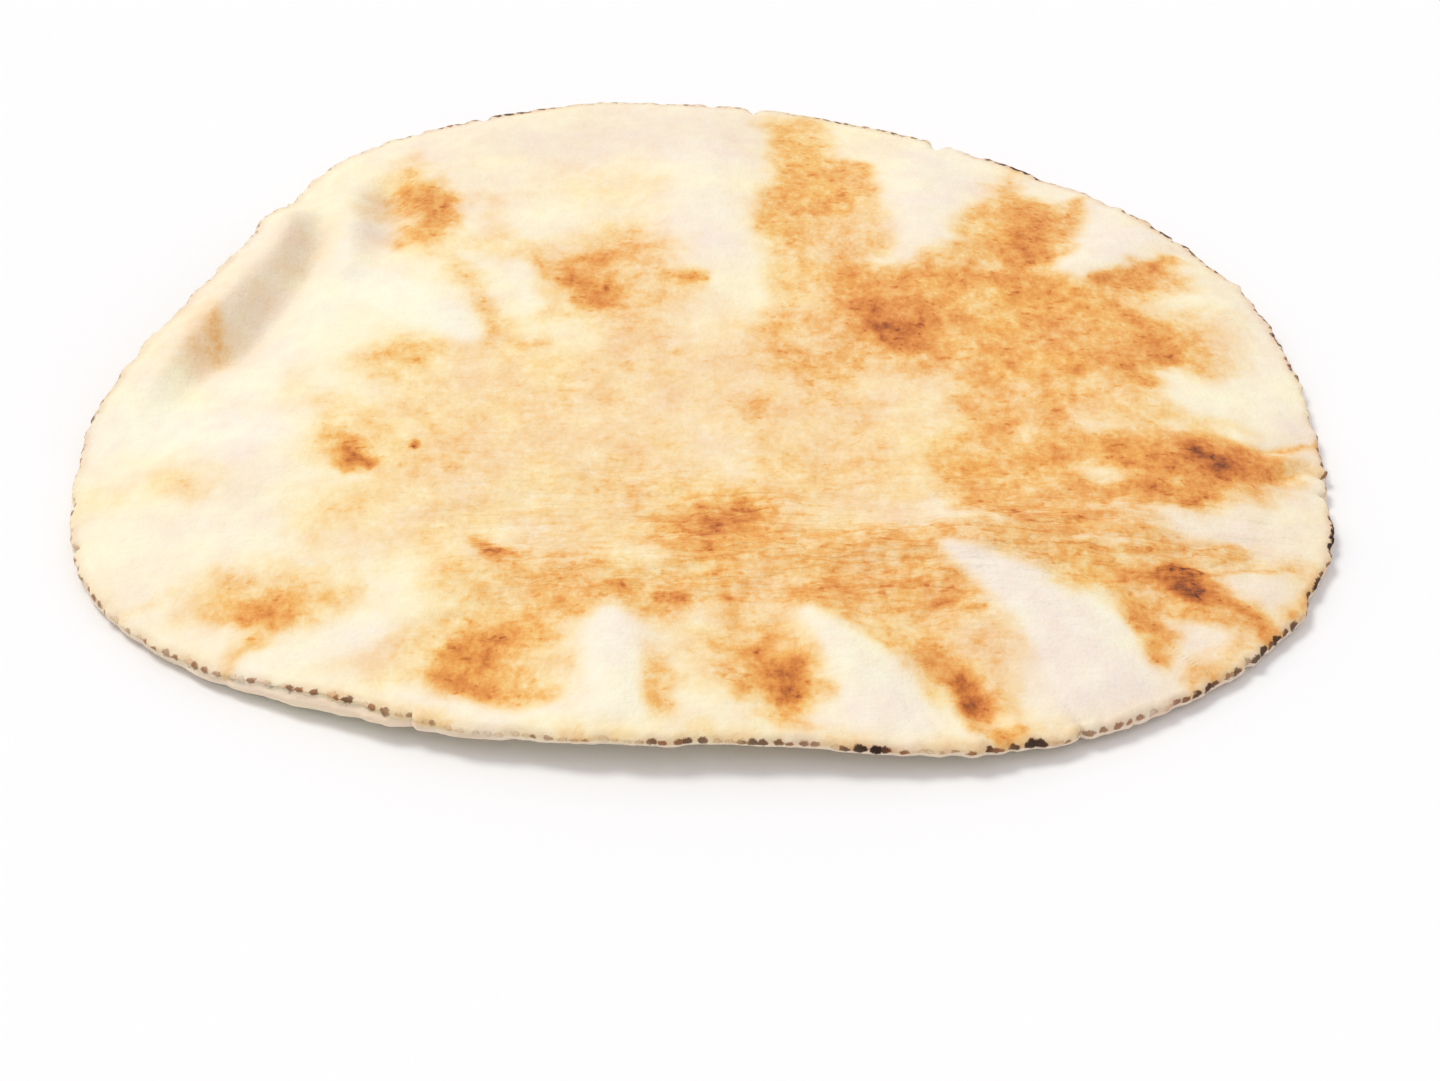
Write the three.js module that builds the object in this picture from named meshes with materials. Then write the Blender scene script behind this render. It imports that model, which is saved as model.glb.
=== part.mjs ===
// A large pita, the thin round flatbread of the Levant. It goes into the oven as one rolled sheet of dough,
// puffs up into two skins joined all round the rim, and sinks nearly flat again as it cools.
//
// Millimetres, +Z up. The bread lies on its underside at z = 0, and the origin is the middle of its own box.
// Clock angles are in degrees, anticlockwise from +X, so 270 is the front (-Y) and 90 is the back.
//
// The whole bread is one closed skin: a travel that starts at the middle of the top, runs out to the rim, turns
// round its blunt nose and comes back underneath, repeated at every clock angle.

import * as THREE from 'three';
import { ParametricGeometry } from 'three/addons/geometries/ParametricGeometry.js';

// ---- Driving dimensions ----

const WIDTH = 279;              // overall, along X
const DEPTH = 270;              // overall, along Y
const MIDDLE_THICKNESS = 12;    // two skins with a little air left between them
const RIM_THICKNESS = 3;        // where the two skins are pressed into one edge
const NOSE = 2.2;               // how far in from the edge the rounded rim turns into the top and the underside
const SHOULDER = 62;            // from the edge in to the full thickness
const SHOULDER_ROUNDNESS = 1.9; // 1 would be a straight slope, 2 a parabola
const FOOT_RISE = 0.6;          // the underside leaves the table a little at the very edge
const FOOT_REACH = 14;          // and is down on it again this far in

// Hand-rolled, so the outline leaves the plain oval: clock angle, how far round it reaches, millimetres outwards.
const SWELLS = [
  { at: 316, spread: 26, out: 15 },     // full front right shoulder
  { at: 334, spread: 15, out: 3.5 },
  { at: 294, spread: 12, out: 2.6 },
  { at: 213, spread: 22, out: 13.3 },   // full front left shoulder
  { at: 274, spread: 16, out: -3.6 },   // flatter front
  { at: 56, spread: 20, out: -4.1 },    // flatter back right
  { at: 64, spread: 10, out: 1.6 },
  { at: 108, spread: 20, out: 4.3 },    // full back left
  { at: 122, spread: 7, out: 0.9 },
  { at: 130, spread: 12, out: 5.4 },
  { at: 146, spread: 9, out: -0.8 },
  { at: 158, spread: 19, out: -14.4 },  // drawn in where the edge has curled up
  { at: 172, spread: 8, out: -3 },
];

// Stretches of rim that dried off the table: clock angle, spread, rise at the edge, and how far in it is felt.
const RISES = [
  { at: 268, spread: 30, up: 5, reach: 55 },
  { at: 104, spread: 26, up: 2.5, reach: 50 },
];

// The curled lip at the back left: steep at its right end, dying away slowly towards the left side.
const LIP_UP = 9.5;
const LIP_FROM = 137;       // clock angle of its right end
const LIP_FULL = 148;       // full height from here
const LIP_FADES = 168;      // and losing height from here
const LIP_TO = 194;         // down to nothing here
const LIP_RIDGE = 10.5;     // its highest line, in from the edge
const LIP_REACH = 21.5;     // the foot of its inner face, in from the edge
const LIP_EDGE_SHARE = 0.8; // the very edge is this much of the ridge's rise

// Folds in the top skin, as ridges (height above 0) and dints (below 0) along a line from one plan point to another.
const FOLDS = [
  { from: [-86, 80], to: [-84, 46], half: 5, height: 2 },       // ridge beside the right end of the lip
  { from: [-76, 86], to: [-76, 56], half: 6, height: -2.4 },
  { from: [-94, 66], to: [-94, 46], half: 4, height: -2.4 },    // valley at the foot of the lip
  { from: [-99, 38], to: [-104, 12], half: 6, height: -2.2 },
  { from: [-50, -82], to: [95, -66], half: 9, height: 1.5 },    // brow where the top bends down to the front
  { from: [58, -78], to: [88, -120], half: 13, height: 2.4 },   // broad front right tongue
  { from: [24, -94], to: [38, -128], half: 6, height: 1.4 },
  { from: [-20, -94], to: [-18, -128], half: 7, height: 1.4 },
  { from: [-95, -100], to: [-78, -116], half: 8, height: 1.2 },
  { from: [46, -100], to: [57, -126], half: 6, height: -1.2 },  // dips between the tongues
  { from: [12, -104], to: [20, -128], half: 8, height: -1 },
  { from: [-46, -98], to: [-44, -126], half: 12, height: -1 },
  { from: [96, -90], to: [112, -104], half: 6, height: -1.2 },
  { from: [52, 96], to: [56, 54], half: 10, height: 1.4 },      // pale folds at the back
  { from: [106, 66], to: [90, 44], half: 8, height: 1.4 },
  { from: [-2, 100], to: [0, 48], half: 16, height: 1.5 },
  { from: [100, -14], to: [134, -14], half: 9, height: 1.3 },
  { from: [-110, -30], to: [-60, -44], half: 14, height: 1 },
];
const FOLD_FADE = 9; // folds die out over this distance before the edge

// How finely the skin is divided.
const SPOKES = 120;
const TOP_RINGS = 16;
const NOSE_RINGS = 4;
const UNDER_RINGS = 6;
const RING_CROWDING = 1.45;  // above 1, rings lie closer together near the edge
const UNDER_CROWDING = 1.25;

// ---- Small helpers ----

const TURN = 360;
const STEP = 0.5; // degrees, when the outline is measured

const clamp01 = (x) => Math.min(1, Math.max(0, x));
const ease = (x) => clamp01(x) ** 2 * (3 - 2 * clamp01(x)); // 0 to 1 with level ends
const bell = (x) => Math.exp(-x * x);
const turnBetween = (a, b) => ((a - b + 3 * TURN / 2) % TURN) - TURN / 2; // signed, -180 to 180
const radians = THREE.MathUtils.degToRad;

// ---- Outline ----

// Distance from the middle to the edge of the drawn outline: a plain oval plus the swells.
function drawnRadius(angle) {
  const a = WIDTH / 2;
  const b = DEPTH / 2;
  const oval = (a * b) / Math.hypot(b * Math.cos(radians(angle)), a * Math.sin(radians(angle)));
  return SWELLS.reduce((r, s) => r + s.out * bell(turnBetween(angle, s.at) / s.spread), oval);
}

// The swells push the outline's box off centre and off size, so it is measured here and fitted back to
// WIDTH by DEPTH round the origin.
const drawnBox = new THREE.Box2();
for (let angle = 0; angle < TURN; angle += STEP) {
  const r = drawnRadius(angle);
  drawnBox.expandByPoint(new THREE.Vector2(r * Math.cos(radians(angle)), r * Math.sin(radians(angle))));
}
const drawnMiddle = drawnBox.getCenter(new THREE.Vector2());
const drawnSize = drawnBox.getSize(new THREE.Vector2());

// Plan point at a clock angle and a distance in from the edge. `inward` is measured along the spoke.
function plan(angle, inward) {
  const r = drawnRadius(angle) - inward;
  return new THREE.Vector2(
    (r * Math.cos(radians(angle)) - drawnMiddle.x) * (WIDTH / drawnSize.x),
    (r * Math.sin(radians(angle)) - drawnMiddle.y) * (DEPTH / drawnSize.y),
  );
}

// ---- Heights ----

// How high the whole bread, both skins together, is lifted off the table.
function lift(angle, inward) {
  const rises = RISES.reduce(
    (z, s) => z + s.up * bell(turnBetween(angle, s.at) / s.spread) * ease(1 - inward / s.reach), 0);
  const along = ease((angle - LIP_FROM) / (LIP_FULL - LIP_FROM)) * ease((LIP_TO - angle) / (LIP_TO - LIP_FADES));
  const inner = ease((LIP_REACH - inward) / (LIP_REACH - LIP_RIDGE));
  const outer = 1 - (1 - LIP_EDGE_SHARE) * ease(1 - inward / LIP_RIDGE);
  return rises + LIP_UP * along * inner * outer;
}

// Height of the underside: down on the table everywhere but at the rim.
function underHeight(angle, inward) {
  return lift(angle, inward) + FOOT_RISE * ease(1 - inward / FOOT_REACH);
}

// Distance from a plan point to the line of a fold.
function distanceToLine(point, from, to) {
  const line = new THREE.Line3(new THREE.Vector3(...from, 0), new THREE.Vector3(...to, 0));
  const here = new THREE.Vector3(point.x, point.y, 0);
  return line.closestPointToPoint(here, true, new THREE.Vector3()).distanceTo(here);
}

// Height of the top skin: the lift, the pillow from the rim to the middle, and the folds.
function topHeight(angle, inward, point) {
  const climb = 1 - (1 - clamp01(inward / SHOULDER)) ** SHOULDER_ROUNDNESS;
  const pillow = RIM_THICKNESS + (MIDDLE_THICKNESS - RIM_THICKNESS) * climb;
  const folds = FOLDS.reduce((z, f) => z + f.height * bell(distanceToLine(point, f.from, f.to) / f.half), 0);
  const foot = FOOT_RISE * ease(1 - inward / FOOT_REACH);
  return lift(angle, inward) + foot + pillow + folds * ease((inward - NOSE) / FOLD_FADE);
}

// ---- The skin as one surface ----

const ALL_RINGS = TOP_RINGS + NOSE_RINGS + UNDER_RINGS;

// u goes once round the bread, clockwise so that the faces point outwards; v goes from the middle of the top (0)
// over the rim to the middle underneath (1).
function skin(u, v, target) {
  const angle = ((1 - u) % 1) * TURN;
  const reach = drawnRadius(angle);
  const ring = v * ALL_RINGS;
  if (ring <= TOP_RINGS) {
    const inward = NOSE + (reach - NOSE) * (1 - ring / TOP_RINGS) ** RING_CROWDING;
    const p = plan(angle, inward);
    target.set(p.x, p.y, topHeight(angle, inward, p));
  } else if (ring < TOP_RINGS + NOSE_RINGS) {
    const tilt = Math.PI * (0.5 - (ring - TOP_RINGS) / NOSE_RINGS); // quarter turn up to quarter turn down
    const p = plan(angle, NOSE * (1 - Math.cos(tilt)));
    const middle = (underHeight(angle, NOSE) + topHeight(angle, NOSE, p)) / 2;
    const half = (topHeight(angle, NOSE, p) - underHeight(angle, NOSE)) / 2;
    target.set(p.x, p.y, middle + half * Math.sin(tilt));
  } else {
    const share = clamp01((ring - TOP_RINGS - NOSE_RINGS) / UNDER_RINGS);
    const inward = NOSE + (reach - NOSE) * share ** UNDER_CROWDING;
    const p = plan(angle, inward);
    target.set(p.x, p.y, underHeight(angle, inward));
  }
}

// ---- The bread ----

const crust = new THREE.MeshStandardMaterial({ color: 0xe9c795, roughness: 0.9, metalness: 0 });

const pita = new THREE.Mesh(new ParametricGeometry(skin, SPOKES, ALL_RINGS), crust);
pita.name = 'pita_bread';

const group = new THREE.Group();
group.add(pita);

export default group;
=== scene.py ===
# %% [markdown]
# # A large pita bread
#
# A pita is rolled from one sheet of dough and baked on a very hot stone. Steam blows it up like a
# cushion, the dough splits into two skins that stay joined all round, and it sinks flat again on the
# cooling rack. Everything that the eye knows it by is on the surface: a pale floury crust, toasted
# patches where the puffed skin stood nearest the fire, fine crinkles where it sank, and a thin rim
# pinched into a row of charred beads.
#
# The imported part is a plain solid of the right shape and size. This lesson builds the finished crust
# over it as one numpy surface, paints it, gives it a procedural material, and sets up a plain pale
# studio.

# %% Load the frame
import math

import bpy
import numpy as np
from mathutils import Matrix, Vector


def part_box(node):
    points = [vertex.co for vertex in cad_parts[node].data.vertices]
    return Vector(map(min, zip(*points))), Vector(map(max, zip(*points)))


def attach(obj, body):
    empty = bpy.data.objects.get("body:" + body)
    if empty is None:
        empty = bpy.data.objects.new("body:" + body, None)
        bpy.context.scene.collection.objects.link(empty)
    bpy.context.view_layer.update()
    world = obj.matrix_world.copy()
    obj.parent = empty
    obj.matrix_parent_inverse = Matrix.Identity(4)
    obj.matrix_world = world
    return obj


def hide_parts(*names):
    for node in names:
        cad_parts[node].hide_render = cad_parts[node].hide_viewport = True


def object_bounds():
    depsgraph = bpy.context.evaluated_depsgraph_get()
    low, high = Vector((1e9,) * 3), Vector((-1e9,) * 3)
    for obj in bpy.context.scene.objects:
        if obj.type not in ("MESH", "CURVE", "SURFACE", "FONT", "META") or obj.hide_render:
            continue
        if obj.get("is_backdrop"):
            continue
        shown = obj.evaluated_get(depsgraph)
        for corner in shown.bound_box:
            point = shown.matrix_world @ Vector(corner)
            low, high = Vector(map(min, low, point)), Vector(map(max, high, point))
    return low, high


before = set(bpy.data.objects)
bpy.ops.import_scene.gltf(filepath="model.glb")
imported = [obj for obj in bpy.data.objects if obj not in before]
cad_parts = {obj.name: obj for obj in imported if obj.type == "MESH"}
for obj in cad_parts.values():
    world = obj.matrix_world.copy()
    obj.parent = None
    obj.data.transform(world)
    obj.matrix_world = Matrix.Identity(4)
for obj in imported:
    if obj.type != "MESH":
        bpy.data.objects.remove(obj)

MM = 0.001
cad_low, cad_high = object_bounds()
low, high = (np.array(corner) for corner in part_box("pita_bread"))
WIDTH, DEPTH, HEIGHT = (high - low) / MM
MIDDLE = np.array([(low[0] + high[0]) / 2, (low[1] + high[1]) / 2, low[2]])

# %% [markdown]
# ## The camera
# A flat thing shows its top and its rim best from a chair's height, and a long lens keeps the far rim
# nearly as large as the near one. The camera stands in front of the bread and tips down a little past
# it, which leaves the bread in the upper half of the frame.

# %% Camera
ELEVATION = 33.0        # degrees above the table
DISTANCE = 0.9155       # metres from the bread's middle
LENS = 100.0            # mm
TIP_DOWN = 2.065        # degrees past the bread's middle
TURN_RIGHT = 0.33       # degrees, which leaves the bread a little left of the middle
AIM_HEIGHT = 3.4 * MM   # above the table, near the rim's upper edge; the distance is measured to there
SENSOR_WIDTH = 36.0     # mm

camera = bpy.data.objects.new("camera", bpy.data.cameras.new("camera"))
camera.data.lens = LENS
camera.data.sensor_width = SENSOR_WIDTH
bpy.context.scene.collection.objects.link(camera)
bpy.context.scene.camera = camera
rise = math.radians(ELEVATION)
camera.location = (MIDDLE[0], MIDDLE[1] - DISTANCE * math.cos(rise),
                   MIDDLE[2] + AIM_HEIGHT + DISTANCE * math.sin(rise))
camera.rotation_euler = (math.radians(90 - ELEVATION - TIP_DOWN), 0, math.radians(-TURN_RIGHT))
print("the camera stands", round(camera.location.length, 2), "m from the frame's origin")

# %% [markdown]
# ## Curves to draw with
# The whole bread is drawn with a few curves that work on numpy arrays: an S-curve that eases from 0 to
# 1, a bell that makes a soft hump, the distance to a line, and clouds of random hills. Each gives a
# whole array at once, so a hundred thousand points cost no more code than one.

# %% Curves
NEARLY_0 = 1e-9         # keeps a line with no length from being divided by


def ease(x):
    """0 below 0, 1 above 1, and between them 3 x squared minus 2 x cubed, which is level at both
    ends."""
    x = np.clip(x, 0, 1)
    return x * x * (3 - 2 * x)


def bell(x):
    """A hump of height 1 at 0: e to the power of minus x squared."""
    return np.exp(-x * x)


def turn_between(a, b):
    """The signed turn from clock angle b to a, in degrees, from -180 to 180."""
    return (a - b + 540) % 360 - 180


def distance_to_line(x, y, start, end):
    """Distance of plan points from the straight line between two points. A point is dropped square on
    to the line, and where it lands is kept between the ends."""
    along = np.subtract(end, start).astype(float)
    length_squared = max(along @ along, NEARLY_0)
    share = np.clip(((x - start[0]) * along[0] + (y - start[1]) * along[1]) / length_squared, 0, 1)
    return np.hypot(x - start[0] - share * along[0], y - start[1] - share * along[1])


LATTICE = 512  # points each way in a table of random numbers, after which it repeats


def cloud(x, y, size, seed, layers=3):
    """Soft random hills, mostly between -1 and 1, `size` mm apart. Random numbers stand on a square
    lattice, and the S-curve blends the four round a point. Each further layer has hills of half the
    size and half the height."""
    total, height = 0.0, 1.0
    for layer in range(layers):
        table = np.random.default_rng(seed * 10 + layer).uniform(-1, 1, (LATTICE, LATTICE))
        u, v = x / size, y / size
        i, j = np.floor(u).astype(int), np.floor(v).astype(int)
        s, t = ease(u - i), ease(v - j)
        near, far = i % LATTICE, (i + 1) % LATTICE
        left, right = j % LATTICE, (j + 1) % LATTICE
        front = table[near, left] * (1 - s) + table[far, left] * s
        back = table[near, right] * (1 - s) + table[far, right] * s
        total = total + height * (front * (1 - t) + back * t)
        size, height = size / 2, height / 2
    return total


sample = cloud(np.arange(999.0), 0, 9, 1)
print("a cloud 9 mm apart runs from", sample.min().round(2), "to", sample.max().round(2))

# %% [markdown]
# ## The outline
# A hand-rolled pita is never a true circle. The outline is the oval of the frame's box with a few soft
# swells, the same as the solid's, and then the small raggedness of a baked edge: it wavers by half a
# millimetre, and it has split in a few places where the dough was dry. Everything is in millimetres
# from the bread's middle, and clock angles run anticlockwise from +X.

# %% Outline
SWELLS = [  # clock angle, how far round it reaches, mm outwards
    (316, 26, 15), (334, 15, 3.5), (294, 12, 2.6), (213, 22, 13.3), (274, 16, -3.6), (56, 20, -4.1),
    (64, 10, 1.6), (108, 20, 4.3), (122, 7, 0.9), (130, 12, 5.4), (146, 9, -0.8), (158, 19, -14.4),
    (172, 8, -3.0),
]
SPLITS = [  # clock angle, half width and depth in mm, and how far in the crack runs
    (84, 1.3, 2.6, 7), (62.5, 1.6, 3.2, 9), (113.5, 1.2, 1.8, 5), (120.5, 1.0, 1.6, 4), (302, 0.9, 1.6, 18),
    (306.5, 0.8, 0.8, 10), (296, 0.8, 0.7, 7), (31, 0.9, 1.4, 5), (347, 1.2, 2.0, 9), (344, 1.0, 1.6, 10),
    (203, 0.9, 1.2, 5), (244, 1.0, 1.2, 6), (319, 1.0, 1.4, 6),
]
WAVER = 0.5                          # mm, of the edge in and out
WAVER_REACH, SPLIT_REACH = 9, 4      # mm inwards, over which the outline's waver and splits die out


def smooth_radius(angle):
    """Distance from the middle to the edge: the radius of the oval plus the swells, each a bell round
    its angle."""
    t = np.radians(angle)
    a, b = WIDTH / 2, DEPTH / 2
    radius = a * b / np.hypot(b * np.cos(t), a * np.sin(t))
    for at, spread, out in SWELLS:
        radius = radius + out * bell(turn_between(angle, at) / spread)
    return radius


all_round = np.arange(0, 360, 0.5)
drawn_x = smooth_radius(all_round) * np.cos(np.radians(all_round))
drawn_y = smooth_radius(all_round) * np.sin(np.radians(all_round))
SHIFT = np.array([drawn_x.max() + drawn_x.min(), drawn_y.max() + drawn_y.min()]) / 2
STRETCH = np.array([WIDTH / np.ptp(drawn_x), DEPTH / np.ptp(drawn_y)])


def plan(angle, inward):
    """Plan point at a clock angle and a distance in from the smooth edge, fitted to the frame's box."""
    radius = smooth_radius(angle) - inward
    x = (radius * np.cos(np.radians(angle)) - SHIFT[0]) * STRETCH[0]
    y = (radius * np.sin(np.radians(angle)) - SHIFT[1]) * STRETCH[1]
    return x, y


def split_at(angle, x, y, inward):
    """How deep the splits are here, in mm: each is a bell across its crack, as deep as it is at the rim
    and easing away inwards along its run."""
    depth = 0.0
    for at, half, deep, run in SPLITS:
        arc = np.radians(turn_between(angle, at)) * np.hypot(x, y)
        depth = depth + deep * bell(arc / half) * ease(1 - inward / run)
    return depth


def raggedness(angle, inward):
    """How far the baked edge lies inside the smooth one: a slow and a quick waver and the splits, all
    dying out inwards."""
    x, y = plan(angle, 0)
    wave = WAVER * (cloud(x, y, 11, 3, 2) + 0.9 * cloud(x, y, 3.2, 4, 2) + 0.8)
    wave = wave * ease(1 - inward / WAVER_REACH)
    return wave + split_at(angle, x, y, inward) * ease(1 - inward / SPLIT_REACH)


print("the outline was", np.ptp(drawn_x).round(1), "by", np.ptp(drawn_y).round(1), "mm before it was fitted")

# %% [markdown]
# ## The form
# The bread lies on the table, but dry bread never lies quite flat: part of the rim has lifted at the
# front and at the back, and at the back left it has curled up into a lip with a steep inner face. The
# top is a low pillow between the rim and the middle, creased into folds. Sculpting it by hand would be
# the usual way. Written as a sum of heights, each term is one thing that a baker would point at, and a
# shorter sum of the same kind gives the solid in the frame.

# %% Heights of both skins
RIM_THICKNESS = 3.0
MIDDLE_THICKNESS = 12.0
NOSE = 2.2              # how far in the rounded edge turns into the top and the underside
SHOULDER = 62.0         # from the edge in to the full thickness
SHOULDER_ROUNDNESS = 1.9
FOOT_RISE, FOOT_REACH = 0.6, 14.0
RISES = [(268, 30, 5.0, 55.0), (104, 26, 2.5, 50.0)]     # clock angle, spread, mm up, reach inwards
LIP_UP, LIP_RIDGE, LIP_REACH = 9.5, 10.5, 21.5           # mm up, and mm in to its ridge and to its foot
LIP_EDGE_SHARE = 0.8                                     # of LIP_UP, which is left at the very edge
LIP_FROM, LIP_FULL, LIP_FADES, LIP_TO = 137, 148, 168, 194      # clock angles


def lift(angle, inward):
    """How high both skins together stand off the table: the rises, and the lip, which eases up and down
    along the rim, falls along its inner face and drops a little again towards the very edge."""
    up = 0.0
    for at, spread, top, reach in RISES:
        up = up + top * bell(turn_between(angle, at) / spread) * ease(1 - inward / reach)
    angle = angle % 360
    along = ease((angle - LIP_FROM) / (LIP_FULL - LIP_FROM)) * ease((LIP_TO - angle) / (LIP_TO - LIP_FADES))
    inner = ease((LIP_REACH - inward) / (LIP_REACH - LIP_RIDGE))
    outer = 1 - (1 - LIP_EDGE_SHARE) * ease(1 - inward / LIP_RIDGE)
    return up + LIP_UP * along * inner * outer


def under_height(angle, inward):
    """The underside is down on the table, and leaves it a little at the rim."""
    return lift(angle, inward) + FOOT_RISE * ease(1 - inward / FOOT_REACH)


# %% Folds and crinkles of the top
FOLDS = [  # start, end, half width, height; below 0 it is a dint
    ((-86, 80), (-84, 46), 5, 2.0),      # ridge beside the right end of the lip
    ((-76, 86), (-76, 56), 6, -2.4),
    ((-94, 66), (-94, 46), 4, -2.4),     # valley at the foot of the lip
    ((-99, 38), (-104, 12), 6, -2.2),
    ((-50, -82), (95, -66), 9, 1.5),     # brow where the top bends down to the front
    ((58, -78), (88, -120), 13, 2.4),    # broad front right tongue
    ((24, -94), (38, -128), 6, 1.4),
    ((-20, -94), (-18, -128), 7, 1.4),
    ((-95, -100), (-78, -116), 8, 1.2),
    ((46, -100), (57, -126), 6, -1.2),   # dips between the tongues
    ((12, -104), (20, -128), 8, -1.0),
    ((-46, -98), (-44, -126), 12, -1.0),
    ((96, -90), (112, -104), 6, -1.2),
    ((52, 96), (56, 54), 10, 1.4),       # pale folds at the back
    ((106, 66), (90, 44), 8, 1.4),
    ((-2, 100), (0, 48), 16, 1.5),
    ((100, -14), (134, -14), 9, 1.3),
    ((-110, -30), (-60, -44), 14, 1.0),
    ((128, -33), (137, -27), 3, 1.1),    # pleat at the right rim, and a dint each side of it
    ((126, -28), (139, -22), 2.2, -0.9),
    ((127, -39), (138, -32), 2.2, -1.0),
]
FOLD_FADE = 9            # mm from the rim, over which folds, swells and crinkles die out
PLEATS_AT, PLEATS_SPREAD, PLEATS_REACH = 302, 16, 34     # fine radial pleats at the front right
PLEAT_RADIUS = 135       # mm, which turns a clock angle into a length along the rim
PLEAT_STRETCH = 9        # pleats are this many times longer inwards than along the rim
GAPE_AT, GAPE_SPREAD = 236, 11                           # where the two skins have come apart at the rim
GAPE_UP, GAPE_REACH = 1.6, 12                            # mm that the top skin stands up there, and inwards
CRACK_SHARE, CRACK_STARTS = 0.4, 3       # share of a split sunk into the top, and mm in to all of it
BROAD_SWELL, SMALL_SWELL, CRINKLE, PIMPLE, PLEAT = 0.75, 0.30, 0.42, 0.08, 0.7     # mm, random relief
WANDER = 3               # mm that a crinkle strays from a straight line
CRINKLE_STRETCH = 2.6    # crinkles are this many times longer from left to right than across
CRINKLE_BANDS = [((-34, -66), (60, -74), 26), ((60, -70), (112, -66), 18)]         # start, end, half width
CRINKLE_LEAST, CRINKLE_MORE = 0.22, 0.85


def crinkled(x, y):
    """How much the skin sank into fine crinkles, from 0 to 1: a little everywhere, and most along bands
    across the front half, each a bell round its line."""
    band = 0.0
    for start, end, half in CRINKLE_BANDS:
        band = np.maximum(band, bell(distance_to_line(x, y, start, end) / half))
    return np.clip(CRINKLE_LEAST + CRINKLE_MORE * band, 0, 1)


def radial_pleats(angle, inward):
    """Small ridges that run in from the rim: a cloud that is fine along the rim and long across it."""
    arc = np.radians(angle) * PLEAT_RADIUS
    where = bell(turn_between(angle, PLEATS_AT) / PLEATS_SPREAD) * ease(1 - inward / PLEATS_REACH)
    return where * cloud(arc, inward / PLEAT_STRETCH, 3.2, 16, 2)


def top_height(x, y, angle, inward):
    """Height of the top skin: the lift, a pillow that climbs from the rim's thickness to the middle's,
    the folds, and random relief from broad swells down to crinkles and pimples. It is a little higher
    where the rim gapes, and lower along the splits."""
    climb = 1 - (1 - np.clip(inward / SHOULDER, 0, 1)) ** SHOULDER_ROUNDNESS
    pillow = RIM_THICKNESS + (MIDDLE_THICKNESS - RIM_THICKNESS) * climb
    folds = 0.0
    for start, end, half, height in FOLDS:
        folds = folds + height * bell(distance_to_line(x, y, start, end) / half)
    swells = BROAD_SWELL * cloud(x, y, 42, 11, 2) + SMALL_SWELL * cloud(x, y, 15, 12, 2)
    wander = WANDER * cloud(x, y, 22, 13, 2)
    crinkles = CRINKLE * crinkled(x, y) * cloud(x + wander, (y + wander) * CRINKLE_STRETCH, 9, 14, 3)
    pimples = PIMPLE * cloud(x, y, 3.4, 15, 2) + PLEAT * radial_pleats(angle, inward)
    relief = (folds + swells + crinkles) * ease((inward - NOSE) / FOLD_FADE) + pimples
    gape = GAPE_UP * bell(turn_between(angle, GAPE_AT) / GAPE_SPREAD) * ease(1 - inward / GAPE_REACH)
    crack = CRACK_SHARE * split_at(angle, x, y, inward) * ease(inward / CRACK_STARTS)
    foot = FOOT_RISE * ease(1 - inward / FOOT_REACH)
    return lift(angle, inward) + foot + pillow + relief + gape - crack


print("the lip lifts the skins by", round(float(lift(LIP_FULL, LIP_RIDGE)), 1), "mm")

# %% [markdown]
# ## One closed skin
# A disc could be drawn as rings and spokes, but the spokes crowd together in the middle. Here a square
# grid is bent into a disc instead: each square ring of the grid becomes one round of the bread, so the
# cells stay nearly alike. The top is one such grid. Rows of points carry its outermost ring round the
# blunt edge, and a coarser grid closes the underside, which lies on the table.

# %% Grids bent into discs
TOP_SIDE = 257                       # points along a side of the top's grid
UNDER_SIDE = TOP_SIDE // 2 + 1       # every second point for the underside
EDGE_ROWS = 12
CROWDING = 1.12                      # above 1, rings lie closer together near the edge


def disc_grid(side):
    """(share of the way out, clock angle) of each point of a square grid bent into a disc. The larger
    of the two distances from the middle says which ring a point is on, and its place along the ring's
    side says the angle."""
    line = np.linspace(-1, 1, side)
    a, b = np.meshgrid(line, line)
    share = np.maximum(abs(a), abs(b))
    sideways = abs(a) >= abs(b)
    across, far = np.where(sideways, b, a), np.where(sideways, a, b)
    ratio = across / np.where(share == 0, 1, far)
    angle = np.where(sideways, 45 * ratio, 90 - 45 * ratio) + 180 * (far < 0)
    return share.ravel(), angle.ravel() % 360


def rim_of(side):
    """Indices of a grid's outermost points, anticlockwise from its front right corner."""
    index = np.arange(side * side).reshape(side, side)
    return np.concatenate([index[:-1, -1], index[-1, :0:-1], index[:0:-1, 0], index[0, :-1]])


def grid_cells(side):
    """Four corners of each cell of a grid, anticlockwise."""
    index = np.arange(side * side).reshape(side, side)
    return np.stack([index[:-1, :-1], index[:-1, 1:], index[1:, 1:], index[1:, :-1]], -1).reshape(-1, 4)


# %% The edge, row by row
EDGE_LENGTH = math.pi * NOSE             # mm from the top round the half circle to the underside
SEAM_LEVEL, SEAM_SWING, SEAM_GAPE = 0.46, 0.18, 0.32     # shares of the way down round the edge
GROOVE_DEPTH, GROOVE_GAPE, GROOVE_HALF = 0.35, 0.9, 0.07     # mm, mm more where it gapes, and a share
BUMPS_OUT, BUMPS_ABOVE, BUMPS_HALF = 0.55, 0.2, 0.13         # mm, then shares above the seam and each side
SKIN_OUT, SKIN_BELOW, SKIN_HALF = 0.25, 0.18, 0.12           # the lower skin's own edge, likewise
UNEVEN = 0.2                             # mm, by which clouds vary the groove and the lower skin


def seam_at(angle):
    """Share of the way down round the edge where the two skins meet: a sine, below the middle at the
    front and above it at the back, less a bell where they have come apart."""
    gape = SEAM_GAPE * bell(turn_between(angle, GAPE_AT) / GAPE_SPREAD)
    return SEAM_LEVEL - SEAM_SWING * np.sin(np.radians(angle)) - gape


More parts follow.
